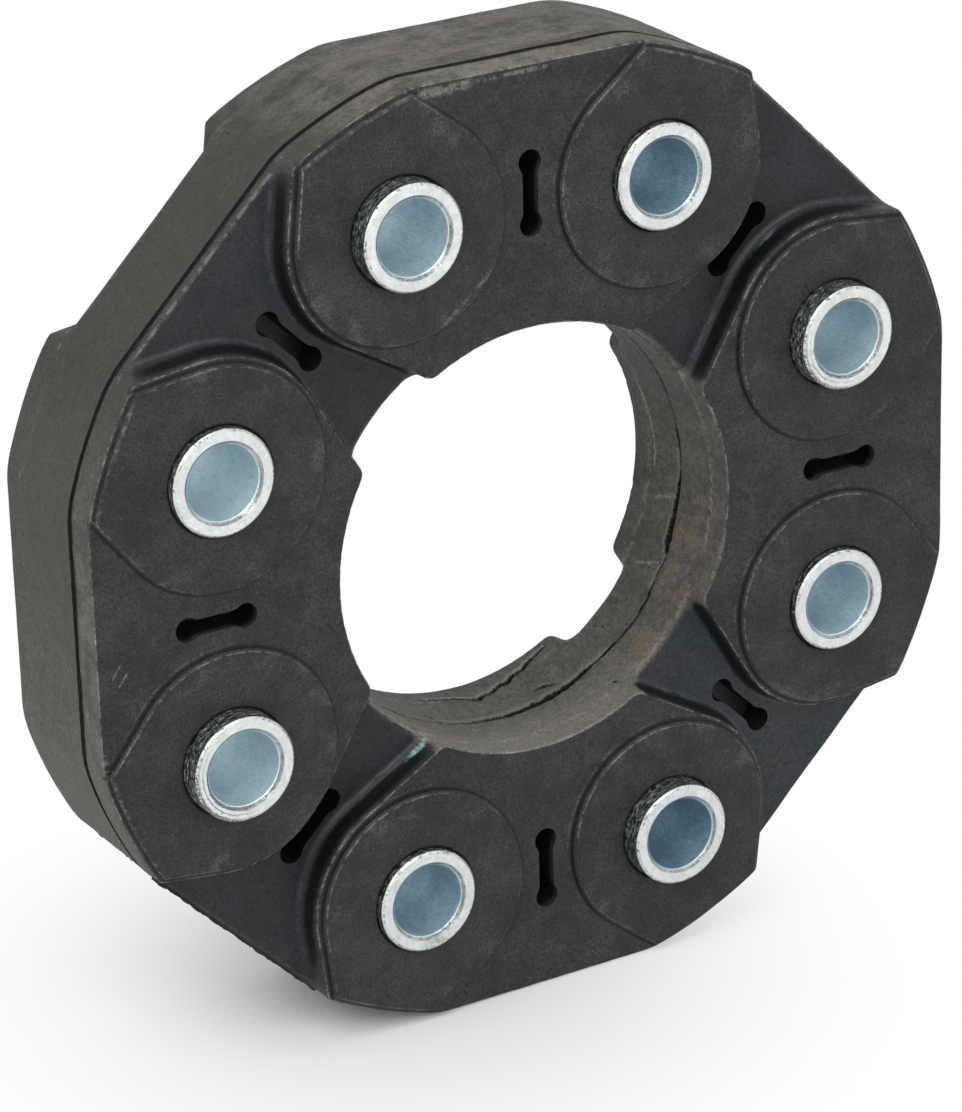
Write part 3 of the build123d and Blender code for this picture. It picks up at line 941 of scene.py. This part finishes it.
def add_waves(work, places, inside, radius):
    """Soft waves, a little on the faces and more on the rim and the bore."""
    off_middle = np.abs(places[:, 1])
    outer = (off_middle > THIN_HALF - 0.3) | (inside < 1.0) | (radius < BORE_RADIUS + 1.0)
    near_sleeve = np.zeros(len(places), bool)
    for number in range(SLEEVE_COUNT):
        angle = HOLE_STEP * (number + 0.5)
        off_x = places[:, 0] - PITCH_RADIUS * math.cos(angle)
        off_z = places[:, 2] - PITCH_RADIUS * math.sin(angle)
        near_sleeve |= np.hypot(off_x, off_z) < SLEEVE_RADIUS + KEPT_ROUND_SLEEVE
    move(work, places)
    work.normal_update()
    normals = np.array([vert.normal for vert in work.verts])
    depth_share = np.clip((THICK_HALF - off_middle) / 2, 0, 1)
    on_walls = depth_share * ((inside < 3.0) | (radius < BORE_RADIUS + 3.0))
    for index in np.nonzero(outer & ~near_sleeve)[0]:
        place = places[index]
        long_wave = wave(place, LONG_WAVE, LONG_WAVE_HEIGHT)
        short_wave = wave(place + WAVES_APART, SHORT_WAVE, SHORT_WAVE_HEIGHT)
        sink = MEAN_SINK + long_wave + short_wave
        places[index] -= normals[index] * sink * (1 + 0.8 * on_walls[index])


def cut_cracks(places):
    """Cut the cracks and raise their lips.

    Gives the painted shade of each point in a crack, and the painted highlight on its lip.
    """
    along, depth, radius = around_bore(places)
    distance, nearest = nearest_crack(along, depth)
    line, width, cut = crack_points[nearest, 1], crack_points[nearest, 2], crack_points[nearest, 3]
    wall = (radius < BORE_RADIUS + 1.6) & (np.abs(depth) < THICK_HALF - 0.5)
    hollow = (1 - (distance / np.maximum(width, 0.01)) ** 2) ** 0.6
    opened = np.where(wall & (distance < width), hollow, 0)
    bank = (distance - width) / LIP_WIDTH
    lip = np.where(wall & (bank > 0) & (bank < 1) & (cut > LIP_NEEDS_DEPTH), 1 - bank, 0)
    push = opened * cut - lip * LIP_HEIGHT
    new_radius = np.where(opened > 0, np.maximum(radius, BORE_RADIUS) + push, radius + push)
    places[:, 0] *= new_radius / radius
    places[:, 2] *= new_radius / radius

    # A crack is painted dark inside as its shade and painted lit on its rear lip as a highlight, and
    # the fine scores are pale
    look = np.clip(1 - (distance - width * 1.1) / 0.10, 0, 1) * wall
    pale = nearest >= len(dark_points)
    lip_share = np.where(nearest < len(torn_points), TORN_LIP_SHARE, LIP_SHARE)
    lit = np.where(pale, look * PALE_SHARE, lip * lip_share * (depth > line))
    look = np.maximum(opened, look * np.clip(cut * CRACK_LOOK, 0, 1))
    return np.where(pale, 0, look), lit


def settle(work):
    """Give the split mesh its rounds, waves and cracks, and tell how dark and pale they are."""
    places = np.array([vert.co for vert in work.verts]) / MM
    inside, radius = inside_outline(places)
    onto_bore(places, radius)
    round_bends(places, inside, radius)
    add_waves(work, places, inside, radius)
    dark, pale = cut_cracks(places)
    move(work, places)
    return dark, pale


def smooth_with_edges(piece, angle):
    """Smooth shading that keeps the edges sharper than an angle."""
    for polygon in piece.data.polygons:
        polygon.use_smooth = True
    work = bmesh.new()
    work.from_mesh(piece.data)
    for edge in work.edges:
        edge.smooth = not (edge.is_manifold and edge.calc_face_angle(0) > angle)
    work.to_mesh(piece.data)
    work.free()


rubber_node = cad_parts["rubber_body"]
work = bmesh.new()
work.from_mesh(rubber_node.data)
bmesh.ops.remove_doubles(work, verts=work.verts, dist=WELD * MM)
refine(work)
crack, lip = settle(work)
bmesh.ops.recalc_face_normals(work, faces=work.faces)
skin_mesh = bpy.data.meshes.new("rubber_skin")
work.to_mesh(skin_mesh)
work.free()
for name, values in (("crack", crack), ("lip", lip)):
    layer = skin_mesh.attributes.new(name, "FLOAT", "POINT")
    layer.data.foreach_set("value", values.astype(np.float32))
rubber_skin = added("rubber_skin", skin_mesh)
thin_out(rubber_skin, SKIN_TRIANGLES)
smooth_with_edges(rubber_skin, SHARP_ANGLE)
dress(rubber_skin, rubber_material)
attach(rubber_skin, "root")
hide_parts("rubber_body")


# Ragged flash and crumbs of rubber that the mould left along the front edge of two flats.
# Each has the angle that its flat looks in, its start and end along it, the half thickness of
# the bead, the size and number of the crumbs, and a seed
FLASH_EDGES = [
    ("flash_lower_left", -135, -18.0, 20.5, 0.42, 0.16, 16, 3),
    ("flash_upper_right", 45, -15.0, 17.0, 0.06, 0.08, 12, 8),
]
FLASH_DEPTH = -THIN_HALF + 0.9
FLASH_PLACES = 24
FLASH_WANDER = 0.25
FLASH_STEP = 0.2
BEAD_LUMPS = 0.55
THINNEST_BEAD = 0.20
CRUMB_SCATTER = 0.35
# The flash is painted dark, as the shade that falls on it
FLASH_SHADE = 0.9


def flash_trail():
    """A bead of uneven thickness along a path, with crumbs scattered about it."""
    tree = bpy.data.node_groups.new("flash_trail", "GeometryNodeTree")
    trail = Nodes(tree)
    tree.interface.new_socket(name="Path", in_out="INPUT", socket_type="NodeSocketGeometry")
    for name in ("Bead", "Crumb", "Scatter", "Shade"):
        tree.interface.new_socket(name=name, in_out="INPUT", socket_type="NodeSocketFloat")
    for name in ("Count", "Seed"):
        tree.interface.new_socket(name=name, in_out="INPUT", socket_type="NodeSocketInt")
    tree.interface.new_socket(name="Rubber", in_out="INPUT", socket_type="NodeSocketMaterial")
    tree.interface.new_socket(name="Mesh", in_out="OUTPUT", socket_type="NodeSocketGeometry")
    given = trail.node("NodeGroupInput", {}, {}).socket.node.outputs
    bead, crumb, scatter, count, seed = [
        Value(trail, given[name]) for name in ("Bead", "Crumb", "Scatter", "Count", "Seed")
    ]
    path = trail.node("GeometryNodeMeshToCurve", {}, {0: Value(trail, given["Path"])})

    # The bead
    fine = trail.node(
        "GeometryNodeResampleCurve",
        {"mode": "LENGTH"},
        {"Curve": path, "Length": FLASH_STEP * MM},
    )
    thickness = trail.node(
        "ShaderNodeTexNoise",
        {"noise_dimensions": "3D"},
        {"Scale": BEAD_LUMPS / MM, "Detail": 4.0},
        "Fac",
    )
    thickness = (0.70 + (thickness - 0.5) * 2.0).maths("MAXIMUM", THINNEST_BEAD)
    profile = trail.node("GeometryNodeCurvePrimitiveCircle", {}, {"Resolution": 7, "Radius": 1.0})
    strip = trail.node(
        "GeometryNodeCurveToMesh",
        {},
        {"Curve": fine, "Profile Curve": profile, "Scale": thickness * bead, "Fill Caps": True},
    )

    # The crumbs
    spots = trail.node(
        "GeometryNodeResampleCurve", {"mode": "COUNT"}, {"Curve": path, "Count": count}
    )
    away = trail.node(
        "FunctionNodeRandomValue",
        {"data_type": "FLOAT_VECTOR"},
        {0: (-1.0, -1.0, -1.0), 1: (1.0, 1.0, 1.0), "Seed": seed},
    )
    moved = trail.node(
        "GeometryNodeSetPosition", {}, {"Geometry": spots, "Offset": trail.scaled(away, scatter)}
    )
    shape = trail.node(
        "FunctionNodeRandomValue",
        {"data_type": "FLOAT_VECTOR"},
        {0: (0.2, 0.2, 0.2), 1: (1.0, 1.0, 1.0), "Seed": seed + 1},
    )
    ball = trail.node("GeometryNodeMeshIcoSphere", {}, {"Radius": 1.0, "Subdivisions": 2})
    crumbs = trail.node(
        "GeometryNodeInstanceOnPoints",
        {},
        {"Points": moved, "Instance": ball, "Scale": trail.scaled(shape, crumb)},
    )
    solid = trail.node("GeometryNodeRealizeInstances", {}, {0: crumbs})

    joined = trail.node("GeometryNodeJoinGeometry", {}, {0: strip})
    trail.tree.links.new(solid.socket, joined.socket.node.inputs[0])
    # The whole trail is painted dark as shade, through the crack attribute that the rubber reads
    darkened = trail.node(
        "GeometryNodeStoreNamedAttribute",
        {"data_type": "FLOAT", "domain": "POINT"},
        {"Geometry": joined, "Name": "crack", "Value": Value(trail, given["Shade"])},
    )
    coated = trail.node(
        "GeometryNodeSetMaterial",
        {},
        {"Geometry": darkened, "Material": Value(trail, given["Rubber"])},
    )
    trail.node("NodeGroupOutput", {}, {0: coated}, None)
    return tree


def grow_flash(name, group, places, sizes):
    """Run the group along a line of places and keep its mesh."""
    path = bpy.data.meshes.new(name + "_path")
    ends = [(index, index + 1) for index in range(len(places) - 1)]
    path.from_pydata([Vector(place) * MM for place in places], ends, [])
    carrier = added(name + "_path", path)
    grown = carrier.modifiers.new("flash", "NODES")
    grown.node_group = group
    for socket in group.interface.items_tree:
        if socket.in_out == "INPUT" and socket.name in sizes:
            grown[socket.identifier] = sizes[socket.name]
    carrier.update_tag()
    ready = carrier.evaluated_get(bpy.context.evaluated_depsgraph_get())
    piece_mesh = bpy.data.meshes.new_from_object(ready)
    carrier.modifiers.remove(grown)
    bpy.data.objects.remove(carrier)
    piece = added(name, piece_mesh)
    dress(piece, rubber_material)
    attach(piece, "root")


def on_flat(angle, sideways, depth):
    """A point on the flat of the rim that looks in that direction."""
    turn = math.radians(angle)
    out = Vector((math.cos(turn), 0, math.sin(turn))) * FLAT_DISTANCE
    along = Vector((-math.sin(turn), 0, math.cos(turn))) * sideways
    return out + along + Vector((0, depth, 0))


flash_group = flash_trail()
for name, angle, start, end, bead, crumb, count, seed in FLASH_EDGES:
    steps = np.linspace(start, end, FLASH_PLACES)
    wander = [FLASH_WANDER * noise.noise((step * 0.2, seed, 0.5)) for step in steps]
    line = [on_flat(angle, step, FLASH_DEPTH + off) for step, off in zip(steps, wander)]
    sizes = {
        "Bead": bead * MM,
        "Crumb": crumb * MM,
        "Scatter": CRUMB_SCATTER * MM,
        "Shade": FLASH_SHADE,
        "Count": count,
        "Seed": seed,
        "Rubber": rubber_material,
    }
    grow_flash(name, flash_group, line, sizes)


# The camera, where the photograph was taken from, in metres and in the photograph's pixels
SENSOR_WIDTH = 36
IMAGE_HEIGHT = 1112
FOCAL_PIXELS = 4932.9
CAMERA_PLACE = Vector((-0.3660, -0.6195, 0.2955))
CAMERA_AZIMUTH = math.radians(30.41)
CAMERA_ELEVATION = math.radians(22.83)
CAMERA_ROLL = math.radians(-1.63)
camera_data = bpy.data.cameras.new("camera")
camera_data.sensor_width = SENSOR_WIDTH
camera_data.lens = SENSOR_WIDTH * FOCAL_PIXELS / IMAGE_HEIGHT
camera = added("camera", camera_data)
camera.matrix_world = (
    Matrix.Translation(CAMERA_PLACE)
    @ Matrix.Rotation(-CAMERA_AZIMUTH, 4, "Z")
    @ Matrix.Rotation(math.radians(90) - CAMERA_ELEVATION, 4, "X")
    @ Matrix.Rotation(CAMERA_ROLL, 4, "Z")
)
bpy.context.scene.camera = camera


def area_lamp(name, place, size, power):
    """A soft rectangular lamp that looks at the disc."""
    data = bpy.data.lights.new(name, "AREA")
    data.shape = "RECTANGLE"
    data.size, data.size_y = size
    data.energy = power
    lamp = added(name, data)
    lamp.location = place
    lamp.rotation_euler = (-Vector(place)).to_track_quat("-Z", "Y").to_euler()


area_lamp("key_lamp", (-0.9, -0.5, 1.4), (1.2, 1.2), 18)
area_lamp("front_lamp", (0.3, -1.6, 0.7), (1.4, 1.0), 10)

# White surroundings, seen by the camera and in the metal, and a soft sky for the rest
SOFT_SKY = 0.45
world = bpy.data.worlds.new("studio")
bpy.context.scene.world = world
world.use_nodes = True
sky = Nodes(world.node_tree)
camera_ray = sky.node("ShaderNodeLightPath", {}, {}, "Is Camera Ray")
mirrored_ray = sky.node("ShaderNodeLightPath", {}, {}, "Is Glossy Ray")
soft = sky.node("ShaderNodeBackground", {}, {"Color": (1, 1, 1, 1), "Strength": SOFT_SKY})
white = sky.node("ShaderNodeBackground", {}, {"Color": (1, 1, 1, 1), "Strength": 1.0})
seen = sky.node(
    "ShaderNodeMixShader", {}, {0: camera_ray.maths("MAXIMUM", mirrored_ray), 1: soft, 2: white}
)
sky.node("ShaderNodeOutputWorld", {}, {"Surface": seen}, None)


# The floor that the disc stands on, in metres, and the spot round which its shadow shows, in
# millimetres. Farther off the floor is plain white to the camera
FLOOR_HEIGHT = cad_box[0][2]
FLOOR_REACH = 3.0
SHADOW_PLACE = (-20.0, 0.0, FLOOR_HEIGHT / MM)
SHADOW_REACH = 90.0


def pale_floor():
    """A matte floor that keeps the shadow of the disc and turns white round it."""
    floor = Finish("pale_floor")
    mottle = floor.noise(60.0, 3.0, 0.5)
    tint = floor.mix(mottle, (0.86, 0.865, 0.87), (0.90, 0.90, 0.90))
    lit = floor.node("ShaderNodeBsdfPrincipled", {}, {"Base Color": tint, "Roughness": 0.75})
    glow = floor.node("ShaderNodeEmission", {}, {"Color": (1, 1, 1, 1), "Strength": 1.0})
    camera_ray = floor.node("ShaderNodeLightPath", {}, {}, "Is Camera Ray")
    share = (1 - floor.close_to(SHADOW_PLACE, SHADOW_REACH)) * camera_ray
    mixed = floor.node("ShaderNodeMixShader", {}, {0: share, 1: lit, 2: glow})
    floor.node("ShaderNodeOutputMaterial", {}, {"Surface": mixed}, None)
    return floor.material


floor_mesh = bpy.data.meshes.new("floor")
floor_mesh.from_pydata(
    [
        (-FLOOR_REACH, -FLOOR_REACH, FLOOR_HEIGHT),
        (FLOOR_REACH, -FLOOR_REACH, FLOOR_HEIGHT),
        (FLOOR_REACH, FLOOR_REACH, FLOOR_HEIGHT),
        (-FLOOR_REACH, FLOOR_REACH, FLOOR_HEIGHT),
    ],
    [],
    [(0, 1, 2, 3)],
)
floor = added("floor", floor_mesh)
dress(floor, pale_floor())

bpy.context.scene.view_settings.view_transform = "Standard"
